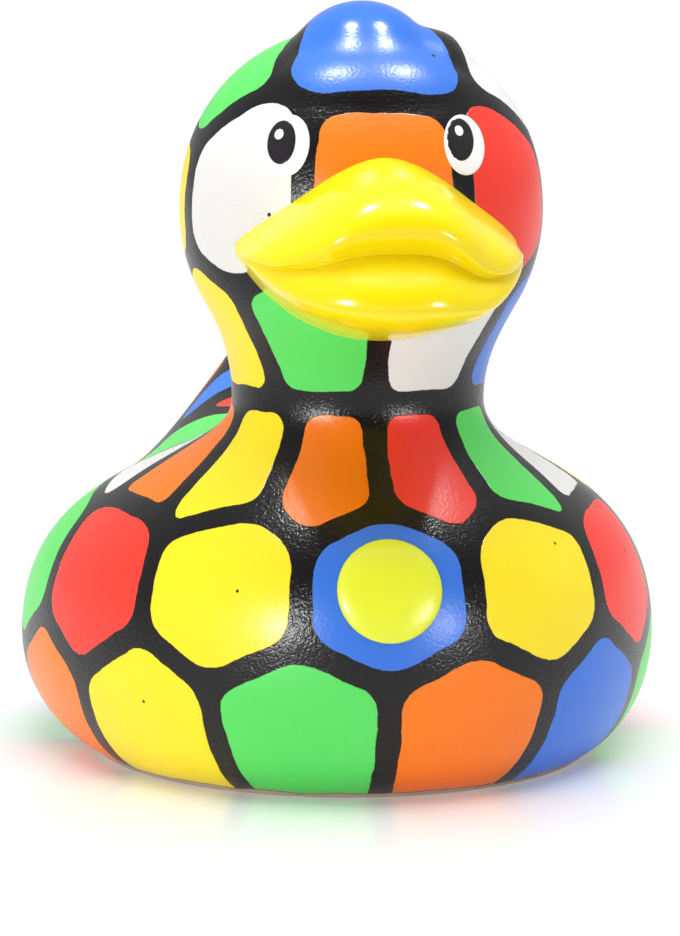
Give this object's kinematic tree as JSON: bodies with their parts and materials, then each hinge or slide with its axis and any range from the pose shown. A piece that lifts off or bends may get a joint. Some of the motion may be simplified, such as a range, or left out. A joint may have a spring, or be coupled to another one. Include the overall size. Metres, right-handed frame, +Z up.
{
  "type": "rubber duck",
  "caption": "Hollow moulded vinyl duck with a flat base, upturned tail, small crest and broad pouting bill, painted as a mosaic of rounded colour patches.",
  "frame": {"origin": "middle of the flat base, on the face it stands on", "axes": "+Z up, the duck looks along -Y, +X is its left side"},
  "size_m": [0.0792, 0.1042, 0.092],
  "materials": {
    "painted_vinyl": "satin black ground paint with rounded patches of white, red, blue, orange, green and yellow",
    "bill_paint": "glossy yellow paint",
    "boss_paint": "glossy yellow-green paint on the raised boss",
    "eye_paint": "glossy white and black printed eyes",
    "bare_vinyl": "unpainted off-white soft vinyl on the base"
  },
  "bodies": {
    "root": {"duck": "painted_vinyl"}
  },
  "joints": []
}
